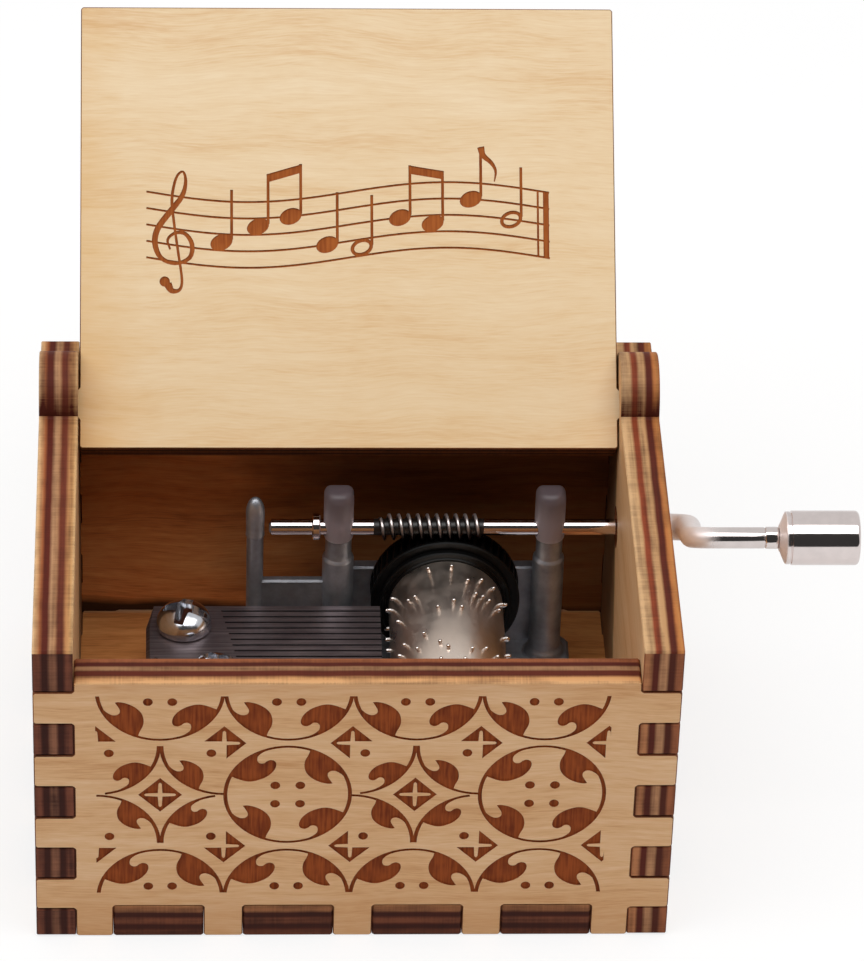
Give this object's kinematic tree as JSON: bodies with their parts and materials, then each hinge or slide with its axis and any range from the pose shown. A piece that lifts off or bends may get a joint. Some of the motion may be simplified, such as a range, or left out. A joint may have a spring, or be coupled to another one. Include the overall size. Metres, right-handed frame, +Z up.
{
  "type": "hand crank music box",
  "caption": "Small finger-jointed plywood music box, lid open over a hand-cranked comb and pin barrel movement, with a bent crank and round knob at its side.",
  "frame": {"origin": "middle of the box's underside", "axes": "+X along the crank shaft towards the crank, -Y towards the engraved front, +Z up"},
  "size_m": [0.0834, 0.0752, 0.0651],
  "materials": {
    "birch_plywood": "sanded, unvarnished, laser-cut edges burnt brown",
    "die_cast_zinc": "as cast, satin grey",
    "comb_steel": "ground along the teeth, dark",
    "lead": "dull",
    "plated_steel": "bright nickel plate",
    "grey_nylon": "moulded, slightly translucent",
    "black_acetal": "moulded, satin"
  },
  "bodies": {
    "box": {"base_panel": "birch_plywood", "front_panel": "birch_plywood", "back_panel": "birch_plywood", "side_panel_left": "birch_plywood", "side_panel_right": "birch_plywood", "movement_frame": "die_cast_zinc", "comb": "comb_steel", "tuning_weight_1": "lead", "tuning_weight_2": "lead", "tuning_weight_3": "lead", "tuning_weight_4": "lead", "tuning_weight_5": "lead", "tuning_weight_6": "lead", "comb_screw_rear": "plated_steel", "comb_screw_front": "plated_steel", "shaft_bush_left": "grey_nylon", "shaft_bush_right": "grey_nylon", "movement_screw_left": "plated_steel", "movement_screw_right": "plated_steel", "movement_screw_front": "plated_steel"},
    "lid": {"lid": "birch_plywood"},
    "crank": {"crank_shaft": "plated_steel", "thrust_collar": "plated_steel", "crank_arm": "plated_steel", "grip_pin": "plated_steel"},
    "barrel": {"worm_wheel": "black_acetal", "pin_barrel": "plated_steel", "barrel_end_cap": "plated_steel", "barrel_arbor": "plated_steel", "arbor_clip": "plated_steel"},
    "knob": {"crank_knob": "plated_steel"}
  },
  "joints": [
    {"name": "lid_hinge", "type": "hinge", "parent": "box", "child": "lid", "pos_m": [0, 0.01665, 0.03515], "axis": [1, 0, 0], "range_deg": [0, 137.62]},
    {"name": "crank_spin", "type": "hinge", "parent": "box", "child": "crank", "pos_m": [0, 0.0107, 0.0241], "axis": [1, 0, 0], "continuous": true},
    {"name": "barrel_spin", "type": "hinge", "parent": "box", "child": "barrel", "pos_m": [0.01035, 0, 0.01531], "axis": [0, 1, 0], "continuous": true},
    {"name": "knob_spin", "type": "hinge", "parent": "crank", "child": "knob", "pos_m": [0, -0.00339, 0.03361], "axis": [1, 0, 0], "continuous": true}
  ],
  "couplings": [
    {"joint": "barrel_spin", "follows": "crank_spin", "ratio": -0.020833}
  ]
}
